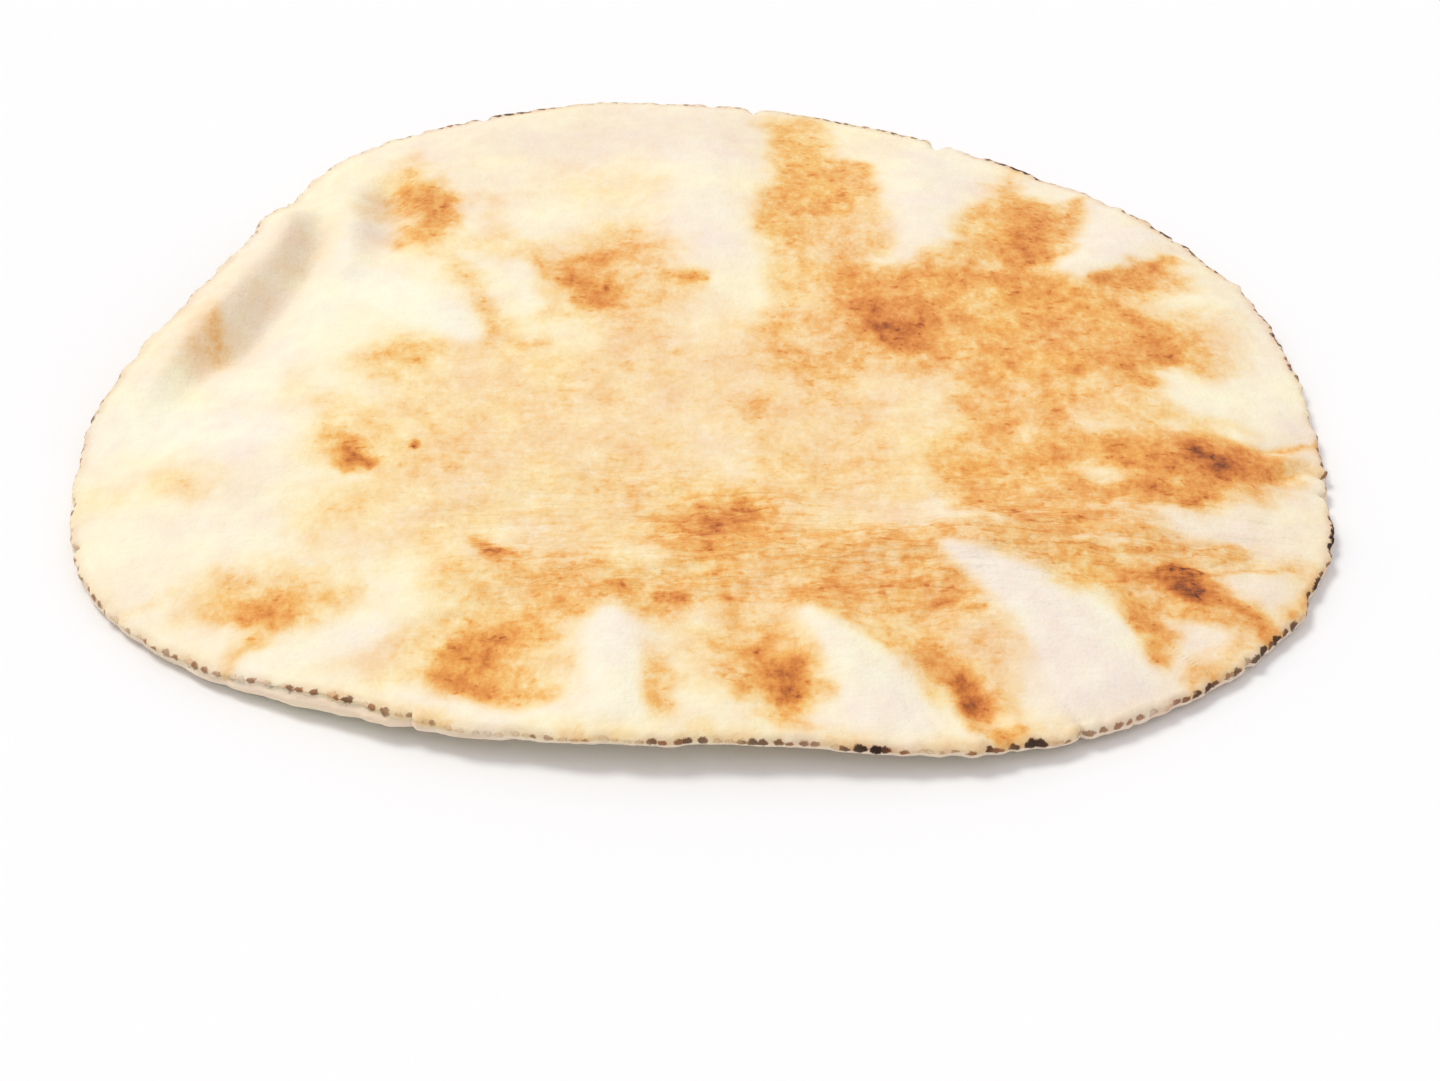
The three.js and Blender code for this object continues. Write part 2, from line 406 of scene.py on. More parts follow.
def bump_row(x, y):
    """Small bumps along the pinched seam, 0 between them and 1 on them: the hills of a fine cloud. The
    charred beads in the material have places of their own."""
    return ease((cloud(x, y, 2.9, 22, 1) + 0.1) / 0.5)


def edge_point(angle, down):
    """Point of the edge at a clock angle and a share of the way down round it: a half circle as deep as
    NOSE, with bumps above the seam, the seam's groove, and the lower skin's edge standing out below
    it."""
    x, y = plan(angle, 0)
    tilt = math.pi * (0.5 - down)
    below = down - seam_at(angle)
    gape = GROOVE_GAPE * bell(turn_between(angle, GAPE_AT) / GAPE_SPREAD)
    depth = GROOVE_DEPTH + UNEVEN * cloud(x, y, 9, 21, 2) + gape
    groove = depth * bell(below / GROOVE_HALF)
    bumps = BUMPS_OUT * bump_row(x, y) * bell((below + BUMPS_ABOVE) / BUMPS_HALF)
    lower_skin = (SKIN_OUT + UNEVEN * cloud(x, y, 5, 23, 2)) * bell((below - SKIN_BELOW) / SKIN_HALF)
    smooth = NOSE * (1 - np.cos(tilt))
    inward = smooth + groove - bumps - lower_skin + raggedness(angle, smooth)
    x, y = plan(angle, inward)
    upper = top_height(x, y, angle, NOSE)
    lower = under_height(angle, NOSE)
    return x, y, (upper + lower) / 2 + (upper - lower) / 2 * np.sin(tilt)


print("the edge is", round(EDGE_LENGTH, 1), "mm round")

# %% Put the skin together
share, top_angle = disc_grid(TOP_SIDE)
top_inward = NOSE + (smooth_radius(top_angle) - NOSE) * (1 - share) ** CROWDING
top_x, top_y = plan(top_angle, top_inward + raggedness(top_angle, top_inward))
top_z = top_height(top_x, top_y, top_angle, top_inward)

edge_angle = top_angle[rim_of(TOP_SIDE)]
down = (np.arange(1, EDGE_ROWS) / EDGE_ROWS)[:, None]
edge_x, edge_y, edge_z = (np.broadcast_to(c, (EDGE_ROWS - 1, edge_angle.size)).ravel()
                          for c in edge_point(edge_angle[None, :], down))
row_inward = NOSE * (1 - np.cos(math.pi * (0.5 - down)))
edge_inward = np.broadcast_to(row_inward, (EDGE_ROWS - 1, edge_angle.size)).ravel()

UNDER_START = NOSE + 1.1             # the coarser grid starts a little further in than the edge's last row
last_x, last_y = plan(edge_angle, NOSE + raggedness(edge_angle, NOSE))
last_z = under_height(edge_angle, NOSE + 0 * edge_angle)
under_share, under_angle = disc_grid(UNDER_SIDE)
under_inward = UNDER_START + (smooth_radius(under_angle) - UNDER_START) * (1 - under_share) ** CROWDING
under_x, under_y = plan(under_angle, under_inward + raggedness(under_angle, under_inward))
HOLLOWS = 0.35                       # mm deep, in the underside
HOLLOWS_FADE = 8                     # mm from the edge, over which they begin
begun = ease((under_inward - UNDER_START) / HOLLOWS_FADE)
hollows = HOLLOWS * np.maximum(cloud(under_x, under_y, 13, 31, 3), 0) * begun
under_z = under_height(under_angle, under_inward) + hollows

x = np.concatenate([top_x, edge_x, last_x, under_x])
y = np.concatenate([top_y, edge_y, last_y, under_y])
z = np.concatenate([top_z, edge_z, last_z, under_z])
print("the skin has", x.size, "points; the cells on top are about", round(float(WIDTH / TOP_SIDE), 2), "mm")

# %% Join the points
edge_count = edge_angle.size
edge_start = top_x.size
ring_index = np.concatenate([rim_of(TOP_SIDE)[None, :],
                             edge_start + np.arange(EDGE_ROWS * edge_count).reshape(EDGE_ROWS, edge_count)])
next_one = np.roll(ring_index, -1, axis=1)
edge_cells = np.stack([ring_index[:-1], ring_index[1:], next_one[1:], next_one[:-1]], -1).reshape(-1, 4)

under_start = edge_start + EDGE_ROWS * edge_count
under_cells = under_start + grid_cells(UNDER_SIDE)[:, ::-1]
coarse = under_start + rim_of(UNDER_SIDE)
coarse_next = np.roll(coarse, -1)
fine, fine_mid, fine_next = ring_index[-1, 0::2], ring_index[-1, 1::2], np.roll(ring_index[-1, 0::2], -1)
bridge = np.concatenate([np.stack([fine, coarse, fine_mid], -1),
                         np.stack([fine_mid, coarse, coarse_next], -1),
                         np.stack([fine_mid, coarse_next, fine_next], -1)])

quads = np.concatenate([grid_cells(TOP_SIDE), edge_cells, under_cells])
corners = np.concatenate([quads.ravel(), bridge.ravel()]).astype(np.int32)
sizes = np.concatenate([np.full(len(quads), 4), np.full(len(bridge), 3)])
starts = np.concatenate([[0], np.cumsum(sizes)[:-1]]).astype(np.int32)

points = np.stack([x, y, z], -1) * MM + MIDDLE
skin = bpy.data.meshes.new("pita_crust")
skin.vertices.add(len(points))
skin.vertices.foreach_set("co", points.ravel())
skin.loops.add(len(corners))
skin.loops.foreach_set("vertex_index", corners)
skin.polygons.add(len(starts))
skin.polygons.foreach_set("loop_start", starts)
skin.update(calc_edges=True)
skin.validate()
skin.shade_smooth()
pita = bpy.data.objects.new("pita_crust", skin)
bpy.context.scene.collection.objects.link(pita)
print("the skin has", 2 * len(quads) + len(bridge), "triangles")

# %% [markdown]
# ## Toasting
# The crust colours where the puffed skin stood near the fire, and stays pale in the folds and along the
# tongues at the front. That pattern isn't random: it belongs to this bread, so it is painted with
# strokes, as a cake decorator would with a brush. A stroke is a line of points with a half width at
# each, a tone from 0 (pale dough) to 1 (burnt) and a soft edge that a cloud makes uneven. Toast only
# ever darkens and a pale fold only ever lightens, so the order inside a list hardly matters. A few
# strokes by the lip paint its shade into the tone as well. The tone is kept on the mesh as an
# attribute, and the material turns it into colour.

# %% The brush
def covered(x, y, points, softness, wobble):
    """How much of a stroke is on each plan point, from 0 to 1: for each piece of the line, the distance
    to it less the half width there, turned by the S-curve into 1 inside and 0 outside, `softness`
    either side of the edge. The wobble breaks the soft edge up, and leaves a crisp one alone."""
    most = 0 * x
    for (x1, y1, half1), (x2, y2, half2) in zip(points, points[1:] or points):
        along = np.array([x2 - x1, y2 - y1], float)
        share = np.clip(((x - x1) * along[0] + (y - y1) * along[1]) / max(along @ along, NEARLY_0), 0, 1)
        apart = np.hypot(x - x1 - share * along[0], y - y1 - share * along[1])
        beyond = apart - (half1 + (half2 - half1) * share)
        most = np.maximum(most, ease(0.5 - beyond / (2 * softness) + wobble))
    return most


def toast(tone, x, y, strokes, wobble):
    """Darkens a tone towards each stroke's own, where that is darker."""
    for stroke_tone, softness, *points in strokes:
        tone = tone + np.maximum(stroke_tone - tone, 0) * covered(x, y, points, softness, wobble)
    return tone


def leave_pale(tone, x, y, strokes, wobble):
    """Lightens a tone towards each stroke's own, where that is lighter."""
    for stroke_tone, softness, *points in strokes:
        tone = tone + np.minimum(stroke_tone - tone, 0) * covered(x, y, points, softness, wobble)
    return tone


# %% Fields of pale gold, and painted shade by the lip
GOLD_AND_SHADE_FIELDS = [  # tone, softness, then points (x, y, half width)
    (0.28, 14, (-66, -6, 12), (-40, -18, 34), (0, -20, 40), (36, -30, 34)),      # the middle
    (0.29, 12, (-72, -58, 14), (-30, -62, 18), (20, -64, 20)),
    (0.36, 10, (26, 4, 10), (30, -20, 10), (24, -48, 12)),
    (0.44, 9, (-34, -86, 7), (0, -86, 10), (24, -90, 10), (44, -90, 13)),         # over the brow
    (0.36, 9, (-2, -100, 4), (20, -99, 4)),
    (0.46, 6, (6, -80, 4), (28, -82, 5)),
    (0.38, 6, (-52, -82, 6), (-36, -92, 5)),
    (0.46, 4, (-28, -92, 3), (-12, -93, 3)),
    (0.34, 7, (60, -102, 4), (61, -122, 4)),
    (0.34, 5, (0, -107, 4), (3, -116, 3)),
    # back right
    (0.41, 5, (23, 120, 7), (24, 100, 7), (29, 84, 13), (27, 62, 13), (27, 40, 12), (28, 4, 12)),
    (0.53, 6, (42, 32, 12), (62, 30, 16), (88, 20, 18), (102, 14, 13)),
    (0.46, 7, (46, 8, 9), (70, 6, 11), (96, 4, 9)),
    (0.42, 6, (112, 26, 4), (113, 4, 5)),
    (0.31, 5, (121, 28, 3), (121, 8, 3)),
    (0.46, 5, (38, 4, 6), (54, 0, 6)),
    (0.39, 4, (41, 78, 3), (42, 52, 6)),
    (0.47, 4, (56, 47, 4), (66, 51, 5)),
    (0.47, 8, (66, -10, 8), (64, -34, 9), (66, -54, 11), (78, -60, 12), (96, -68, 7)),    # right
    (0.38, 8, (82, -14, 9), (98, -14, 7)),
    (0.50, 6, (76, -36, 7), (98, -34, 8)),
    (0.34, 5, (92, -20, 5), (106, -19, 4)),
    (0.30, 4, (114, -20, 2), (124, -23, 2)),
    (0.40, 4, (124, -34, 5), (134, -32, 2.5)),
    (0.47, 5, (110, -49, 5)),
    (0.36, 4, (121, -47, 5)),
    (0.38, 6, (104, -71, 5), (128, -72, 4)),
    (0.44, 5, (-2, -76, 5), (14, -76, 6), (40, -72, 8), (68, -72, 6), (84, -77, 5)),
    (0.27, 8, (-104, -80, 8), (-84, -84, 11)),      # front left
    (0.22, 7, (-74, -106, 6), (-62, -110, 7)),
    (0.30, 9, (-46, -108, 18), (-30, -110, 8)),
    (0.34, 8, (-82, -34, 8), (-68, -36, 9)),        # left
    (0.31, 6, (-84, -14, 4), (-72, -22, 8)),
    (0.20, 6, (-94, -2, 4), (-92, -18, 4)),
    (0.18, 6, (-134, -44, 4), (-112, -40, 7)),
    (0.28, 7, (-70, 4, 10), (-52, 6, 8)),
    (0.15, 5, (-92, 66, 4), (-97, 48, 5), (-105, 30, 5), (-118, 4, 4)),       # painted shade: the lip's shaded inner face, toned darker
    (0.17, 10, (-34, 84, 10), (-20, 80, 12)),       # back left
    (0.30, 8, (-26, 56, 10), (-18, 46, 14)),
    (0.27, 6, (-64, 54, 6), (-50, 54, 6)),
    (0.28, 6, (-50, 76, 3), (-49, 56, 4)),
    # painted shade: a darker tone in the shaded valley beside the lip's right end
    (0.22, 4, (-81, 74, 3), (-80, 60, 3)),
    (0.34, 5, (-40, 50, 5), (-39, 32, 4)),
    (0.35, 5, (-14, 32, 5), (-6, 34, 5)),
    (0.34, 5, (-34, 22, 4), (-18, 19, 5)),
]
print(len(GOLD_AND_SHADE_FIELDS), "fields of pale gold")

# %% Toasted patches at the back
BACK_PATCHES = [
    (0.50, 5, (24, 118, 3), (24, 104, 4)),
    (0.48, 5, (24, 92, 7), (27, 78, 8), (24, 62, 6)),
    (0.51, 4, (37, 92, 5), (37, 82, 5), (30, 72, 4)),
    (0.44, 5, (78, 101, 1.5), (75, 86, 4), (72, 62, 10)),
    (0.60, 5, (82, 78, 5), (80, 66, 8), (77, 50, 8)),
    (0.50, 3, (94, 88, 1.5), (91, 76, 4), (87, 60, 4)),
    (0.42, 3, (92, 70, 3), (89, 50, 3)),
    (0.69, 4, (81, 70, 2), (76, 62, 3), (80, 50, 3.5)),
    (0.64, 2.5, (93, 38, 2.5), (101, 43, 3.5), (111, 55, 1.8)),
    (0.48, 3, (106, 44, 4), (113, 54, 2.5)),
    (0.60, 4, (96, 38, 3), (106, 40, 4)),
    (0.44, 5, (104, 36, 5), (114, 44, 3)),
    (0.60, 5, (84, 36, 3), (76, 36, 3)),
    (0.56, 6, (38, 30, 8), (44, 18, 12)),
    (0.68, 5, (37, 30, 3), (41, 20, 6), (47, 14, 6)),
    (0.80, 4, (39, 24, 2), (42, 16, 3.5), (48, 12, 2)),
    (0.66, 2.5, (46, 26, 1.5), (53, 18, 2.5)),
    (0.56, 3, (44, 38, 2), (50, 36, 2)),
    (0.55, 5, (100, 20, 4), (106, 10, 6), (100, 0, 5)),
    (0.70, 3, (105, 15, 2), (106, 6, 3)),
    (0.72, 3, (81, 1, 1.5), (86, -2, 2.5)),
    (0.64, 4, (90, 2, 3), (100, -3, 4)),
    (0.58, 4, (66, 6, 3), (80, 4, 4)),
    (0.54, 5, (66, -6, 4), (78, -5, 4)),
]
BACK_LEFT_PATCHES = [
    # a toasted patch beside the lip, toned a little darker also to paint the shade that lies over it
    (0.36, 5, (-72, 96, 4), (-73, 84, 6), (-66, 72, 9), (-66, 60, 7)),
    (0.55, 4, (-71, 86, 3), (-66, 76, 5), (-62, 68, 4), (-66, 60, 5)),
    (0.62, 3, (-68, 80, 2), (-63, 76, 2.5), (-61, 68, 2)),
    (0.22, 4, (-71, 104, 1.5), (-72, 97, 3)),
    (0.34, 4, (-59, 44, 3), (-53, 32, 3), (-49, 20, 2.5), (-41, 10, 3)),
    (0.42, 2.5, (-50, 27, 1.2), (-47, 16, 1.5)),
    (0.44, 2.5, (-41, 9, 2), (-37, 8, 1.5)),
    (0.46, 5, (-37, 44, 4), (-29, 40, 8), (-22, 30, 7)),
    (0.58, 3.5, (-29, 46, 2), (-23, 46, 2)),
    (0.66, 4, (-29, 38, 4), (-23, 31, 5)),
    (0.70, 3, (-25, 27, 2.2), (-24, 30, 2)),
    (0.42, 4, (-16, 46, 4), (-19, 58, 2.5)),
    (0.50, 3, (-9, 39, 3), (-2, 37, 2.5)),
    (0.68, 1.5, (-3, 37, 0.8), (0, 36, 1)),
    (0.40, 4, (-18, 23, 3), (-11, 25, 2.5)),
    (0.44, 4, (-74, 5, 3), (-67, 7, 5)),
    (0.34, 5, (-60, 12, 3), (-53, 7, 3)),
    (0.40, 4, (-70, -4, 3)),
    (0.36, 2, (-35, -4, 1.5)),
    (0.44, 1.5, (-5, 4, 1.2)),
    (0.30, 4, (-114, 21, 3), (-113, 9, 4)),
    (0.38, 3, (-112, 18, 1.2), (-112, 12, 1.5)),
]
print(len(BACK_PATCHES) + len(BACK_LEFT_PATCHES), "patches at the back")

# %% Toasted patches at the front
RIGHT_PATCHES = [
    (0.50, 5, (13, -14, 3), (14, -22, 2.5)),
    (0.54, 6, (78, -12, 4), (79, -28, 6)),
    (0.66, 3, (79, -12, 1.5), (80, -18, 2)),
    (0.54, 5, (60, -43, 5), (64, -44, 4)),
    (0.62, 2.5, (60, -43, 2), (64, -44, 2)),
    (0.53, 5, (60, -55, 4), (60, -58, 4)),
    (0.58, 5, (84, -50, 5), (106, -50, 6)),
    (0.62, 6, (96, -36, 7), (112, -36, 12), (126, -37, 5)),
    (0.70, 4, (100, -40, 3), (112, -38, 6)),
    (0.88, 4, (109, -30, 2.5), (113, -35, 3), (115, -40, 2)),
    (0.94, 1.8, (108, -31, 1), (111, -32, 1)),
    (0.66, 3, (109, -44, 2), (108, -51, 1.5)),
    (0.66, 3, (95, -48, 2), (98, -51, 2)),
    (0.48, 1.6, (127, -28, 1.4), (138, -23, 0.8)),
    (0.46, 2, (128, -39, 2), (133, -37, 1), (137, -32, 0.8)),
    (0.24, 4, (128, -33, 3), (134, -30, 2)),
    (0.56, 5, (78, -82, 3), (92, -80, 5), (104, -81, 6)),
    (0.64, 3.5, (106, -83, 4), (113, -87, 3.5), (121, -95, 2.5)),
    (0.87, 3, (99, -79, 1.8), (104, -82, 2.8)),
    (0.76, 1.6, (99, -76, 1), (105, -77, 1)),
    (0.54, 3, (91, -88, 4), (95, -97, 4.5), (94, -106, 3)),
    (0.52, 3, (98, -88, 3), (113, -92, 3)),
    (0.38, 3, (113, -97, 3), (101, -112, 3)),
    (0.64, 3, (95, -98, 2)),
    (0.60, 1.8, (118, -91, 1.5), (121, -95, 1.2)),
    (0.56, 2, (74, -68, 1.5), (88, -66, 1.5)),
    (0.54, 1.8, (80, -74, 1.2), (98, -71, 1.5)),
    (0.50, 1.5, (100, -72, 1), (118, -67, 1)),
    (0.48, 1.5, (110, -76, 1), (126, -72, 1)),
    (0.50, 3, (124, -86, 1.5), (131, -76, 1.5)),
]
FRONT_PATCHES = [
    (0.58, 6, (-3, -66, 6), (8, -63, 8)),
    (0.76, 4.5, (6, -62, 4), (12, -62, 3)),
    (0.60, 4, (-4, -70, 4), (6, -72, 5)),
    (0.40, 6, (-20, -46, 3), (-14, -50, 4), (0, -54, 6)),
    (0.44, 3, (-3, -54, 2), (4, -55, 3)),
    (0.56, 4, (-47, -73, 3), (-42, -77, 3)),
    (0.72, 2.5, (-47, -73, 1.5), (-43, -76, 1.5)),
    (0.36, 3, (-60, -54, 2), (-59, -57, 2)),
    (0.36, 3, (-61, -64, 1.5), (-58, -70, 2)),
    (0.36, 2, (-62, -20, 1.2), (-58, -28, 1.2)),
    (0.48, 3, (-40, -81, 1.5), (-26, -87, 3), (-4, -89, 3)),
    (0.68, 2, (-23, -87, 1.2), (-17, -87, 1.2)),
    (0.74, 1.8, (-9, -90, 1.5), (-5, -89, 1.2)),
    (0.70, 1.4, (5, -90, 0.8), (8, -90, 0.8)),
    (0.52, 3, (-12, -93, 2), (-3, -92, 2)),
    (0.44, 2.5, (-36, -90, 1.2), (-26, -91, 1.2)),
    (0.50, 5, (42, -88, 5), (52, -88, 4)),
    (0.58, 2, (50, -92, 1.2), (58, -96, 1.5)),
    (0.44, 5, (36, -100, 2), (46, -108, 6)),
    (0.54, 3.5, (43, -107, 2.5), (51, -111, 4)),
    (0.62, 3, (50, -110, 2), (55, -120, 3), (57, -128, 2)),
    (0.82, 2, (52, -115, 1), (56, -122, 1.6)),
    (0.56, 5, (9, -110, 4), (17, -112, 8), (20, -122, 4)),
    (0.69, 4, (14, -109, 3), (17, -117, 5), (19, -124, 2.5)),
    (0.77, 3, (16, -111, 2), (18, -119, 3)),
    (0.62, 2.5, (24, -117, 2), (26, -120, 1.5)),
    (0.44, 4, (2, -105, 2), (16, -103, 3)),
    (0.50, 4, (9, -118, 3)),
    (0.40, 3, (12, -127, 2), (20, -129, 2)),
    (0.44, 4, (48, -118, 3)),
    (0.50, 2.5, (56, -128, 2), (64, -130, 2)),
    (0.40, 4, (-8, -110, 4), (-9, -122, 4)),
    (0.47, 3, (-8, -114, 2), (-9, -123, 2)),
]
FRONT_LEFT_PATCHES = [
    (0.52, 5, (-44, -100, 6), (-47, -112, 8), (-40, -118, 5)),
    (0.64, 4, (-46, -104, 4), (-50, -112, 5), (-45, -117, 4)),
    (0.74, 3, (-50, -104, 1.6), (-46, -110, 1.6)),
    (0.77, 3, (-57, -111, 1), (-50, -114, 2), (-45, -119, 2.5)),
    (0.56, 4, (-38, -100, 3), (-32, -101, 2)),
    (0.54, 4, (-50, -119, 3), (-32, -119, 2)),
    (0.42, 6, (-100, -84, 5), (-86, -86, 7), (-78, -85, 3)),
    (0.58, 4.5, (-97, -88, 3), (-88, -90, 4.5)),
    (0.72, 3, (-94, -90, 1.8), (-90, -94, 2)),
    (0.50, 3.5, (-94, -97, 3), (-92, -99, 2.5)),
    (0.40, 2, (-96, -101, 1.5), (-100, -107, 0.8)),
    (0.42, 3.5, (-103, -77, 2.5), (-98, -80, 2.5)),
    (0.22, 3, (-121, -87, 1.5), (-112, -80, 2.5)),
    (0.46, 4, (-83, -23, 2), (-81, -31, 3), (-76, -38, 4.5)),
    (0.68, 3, (-80, -32, 2.5), (-74, -40, 3.5)),
    (0.88, 1.4, (-79, -35, 0.5), (-76, -37, 0.9), (-72, -41, 1.4)),
    (0.92, 1.1, (-63.5, -33, 0.7)),
    (0.80, 0.8, (-88, -107, 0.5)),
    (0.29, 4, (-118, -39, 2), (-110, -48, 2.5)),
]
print(len(RIGHT_PATCHES) + len(FRONT_PATCHES) + len(FRONT_LEFT_PATCHES), "patches at the front")

# %% Pale folds
PALE_FOLDS = [
    (0.09, 8, (-44, 112, 12), (-8, 116, 14)),       # the back
    (0.05, 5, (0, 104, 7), (1, 70, 7), (5, 48, 4)),
    (0.14, 4, (10, 110, 2), (9, 60, 2)),
    (0.05, 4, (60, 106, 9), (55, 80, 8), (53, 56, 3)),
    (0.12, 3, (87, 91, 3), (85, 84, 1.5)),
    (0.04, 2.5, (86, 44, 1.5), (94, 52, 4.5), (106, 67, 5)),
    (0.04, 3.5, (92, 60, 3), (101, 80, 4)),
    (0.16, 6, (124, 44, 4), (131, 12, 6)),
    (0.28, 2, (106, 27, 2.5)),
    (0.06, 5, (112, -11, 5), (128, -10, 9)),
    (0.12, 5, (108, -61, 4), (128, -58, 6)),
    (0.12, 3, (114, -79, 2.5), (121, -80, 3)),
    (0.03, 2.5, (53, -77, 2), (62, -83, 5), (68, -90, 6), (75, -99, 8), (80, -107, 11), (84, -117, 12)),
    (0.03, 2, (81, -91, 3), (84, -98, 5)),
    (0.22, 3.5, (103, -96, 1.5), (106, -102, 3)),
    (0.19, 5, (3, -34, 3), (8, -41, 4)),
    (0.04, 2.5, (22, -97, 2.5), (27, -104, 4.5), (32, -111, 6), (36, -119, 8), (38, -128, 9)),
    (0.14, 3, (1, -122, 3), (2, -130, 5)),
    (0.03, 2.5, (-19, -98, 5), (-19, -110, 5.5), (-18, -128, 6)),
    (0.05, 4, (-62, -117, 3), (-40, -127, 3)),
    (0.04, 3.5, (-92, -106, 3.5), (-80, -102, 4), (-68, -96, 3)),
    (0.03, 5, (-83, 66, 3), (-88, 30, 8), (-104, -6, 7)),       # the left
    (0.01, 3.5, (-78, 38, 6), (-66, 26, 6), (-55, 14, 3)),
    (0.06, 3, (-43, 42, 3), (-40, 26, 3)),
    (0.02, 8, (-126, -18, 12), (-102, -26, 10)),
    (0.05, 8, (-126, -62, 9), (-98, -62, 7)),
]
print(len(PALE_FOLDS), "pale folds")

# %% Paint the top
BASE_TONE = 0.09
BLOTCHES, WOBBLE, BROAD_WOBBLE = 0.15, 0.17, 0.26    # how far clouds vary a field, an edge and a broad edge
STRAY = 1.7                                          # mm that a patch strays from its stroke
blotches = BLOTCHES * cloud(x, y, 13, 45, 3)
wander_x, wander_y = x + STRAY * cloud(x, y, 6, 46, 2), y + STRAY * cloud(x, y, 6, 47, 2)
wobble = WOBBLE * cloud(x, y, 8, 41, 3)
broad_wobble = BROAD_WOBBLE * cloud(x, y, 15, 49, 4)
tone = BASE_TONE + 0.02 * cloud(x, y, 30, 43, 3)
tone = toast(tone, x, y, GOLD_AND_SHADE_FIELDS, broad_wobble)
tone = tone * (1 + blotches)
for patches in (BACK_PATCHES, BACK_LEFT_PATCHES, RIGHT_PATCHES, FRONT_PATCHES, FRONT_LEFT_PATCHES):
    tone = toast(tone, wander_x, wander_y, patches, wobble)
tone = leave_pale(tone, x, y, PALE_FOLDS, wobble)
print("the tone runs from", tone.min().round(2), "to", tone.max().round(2))

# %% Rosy and yellow places, and painted shade by the lip
HUE_AND_SHADE_PLACES = [  # 0 yellow to 1 rosy, softness, then points (x, y, half width)
    (0.95, 6, (38, 28, 3), (46, 14, 6)),                     # hearts of the darkest patches
    (0.95, 6, (106, -30, 4), (113, -42, 4)),
    (0.90, 6, (98, -78, 4), (120, -94, 4)),
    (0.85, 5, (3, -64, 7)),
    (0.85, 4, (50, -112, 3), (56, -122, 3)),
    (0.85, 4, (-46, -74, 3)),
    (0.75, 12, (76, -58, 12), (112, -68, 12)),
    (0.95, 6, (-93, 64, 4), (-103, 36, 5), (-116, 10, 5)),   # painted shade: the lip's shaded inner face, made rosier and darker
    # painted shade: the shaded valley beside the lip's right end, made rosier and darker
    (0.90, 5, (-78, 80, 4), (-76, 58, 4)),
    (0.85, 12, (-36, 108, 10), (8, 104, 12)),                # cool cream at the back
    (0.80, 8, (62, -88, 5), (86, -116, 9)),
    (0.10, 6, (23, 118, 7), (26, 92, 8), (34, 74, 6)),       # clear yellow gold
    (0.35, 9, (-112, -66, 10), (-84, -92, 10)),
    (0.15, 7, (-46, -104, 8), (-36, -116, 8)),
    (0.05, 4, (-52, -92, 2), (-38, -93, 3)),
    (0.15, 8, (62, 32, 6), (92, 24, 8)),
    (0.20, 8, (-130, -30, 6), (-126, -64, 8)),
]
hue = 0.42 + 0.14 * x / (WIDTH / 2) + 0.34 * cloud(x, y, 17, 48, 3)
for place_hue, softness, *points in HUE_AND_SHADE_PLACES:
    hue = hue + (place_hue - hue) * covered(x, y, points, softness, wobble)
hue = np.clip(hue, 0, 1)
print("the hue runs from", hue.min().round(2), "to", hue.max().round(2))

# %% Painted shade
PAINTED_SHADE_PLACES = [  # how deep the painted shade is, softness, then points (x, y, half width)
    # Shade painted into the colour: the shaded valley beside the lip's right end, the shaded toast right of
    # it, and a grey wash over the pale back.
    (0.9, 6, (-78, 84, 3), (-77, 62, 3)),
    (0.5, 6, (-70, 84, 4), (-64, 66, 4)),
    (0.3, 12, (-46, 112, 10), (6, 112, 14)),
]
# The painted shade is kept on the mesh as the attribute shade.
shade = 0 * x
for shade_depth, softness, *points in PAINTED_SHADE_PLACES:
    shade = np.maximum(shade, shade_depth * covered(x, y, points, softness, wobble))
print("the shade runs from", shade.min().round(2), "to", shade.max().round(2))

# %% The underside and the edge
is_top = np.arange(x.size) < top_x.size
is_under = np.arange(x.size) >= under_start
all_inward = np.concatenate([top_inward, edge_inward, NOSE + 0 * last_x, under_inward])
all_angle = np.concatenate([top_angle, np.tile(edge_angle, EDGE_ROWS), under_angle])
row_down = np.repeat(np.arange(1, EDGE_ROWS + 1), edge_count) / EDGE_ROWS
all_down = np.concatenate([0 * top_x, row_down, 1 + 0 * under_x])

FRONT_GOLD, FRONT_GOLD_REACH = 0.17, 8.0         # the front rim is a little golden: tone, and mm inwards
FRONT_GOLD_AT, FRONT_GOLD_SPREAD = 272, 48       # clock angle, and degrees
UNDER_PALE, UNDER_TOASTED = 0.08, 0.62           # tone of the underside, and how much more on its patches
UNDER_STARTS, UNDER_EASES = 4, 14                # mm in to where the patches start, and mm they grow over
front_rim = bell(turn_between(all_angle, FRONT_GOLD_AT) / FRONT_GOLD_SPREAD)
front_rim = front_rim * ease(1 - all_inward / FRONT_GOLD_REACH)
gilded = tone + FRONT_GOLD * front_rim * np.clip(0.6 + 0.8 * cloud(x, y, 9, 50, 3), 0, 1.3)
under_patches = ease((cloud(x, y, 34, 44, 4) + 0.05) / 0.9) * ease((all_inward - UNDER_STARTS) / UNDER_EASES)
under_tone = UNDER_PALE + UNDER_TOASTED * under_patches
tone = np.clip(np.where(is_under, under_tone, np.where(all_down > 0.5, UNDER_PALE, gilded)), 0, 1)

flat_part = np.where(is_top, all_inward - NOSE, 0) - np.where(is_under, all_inward - NOSE, 0)
# mm from the seam along the skin, above 0 on the upper side
above_seam = (seam_at(all_angle) - all_down) * EDGE_LENGTH + flat_part

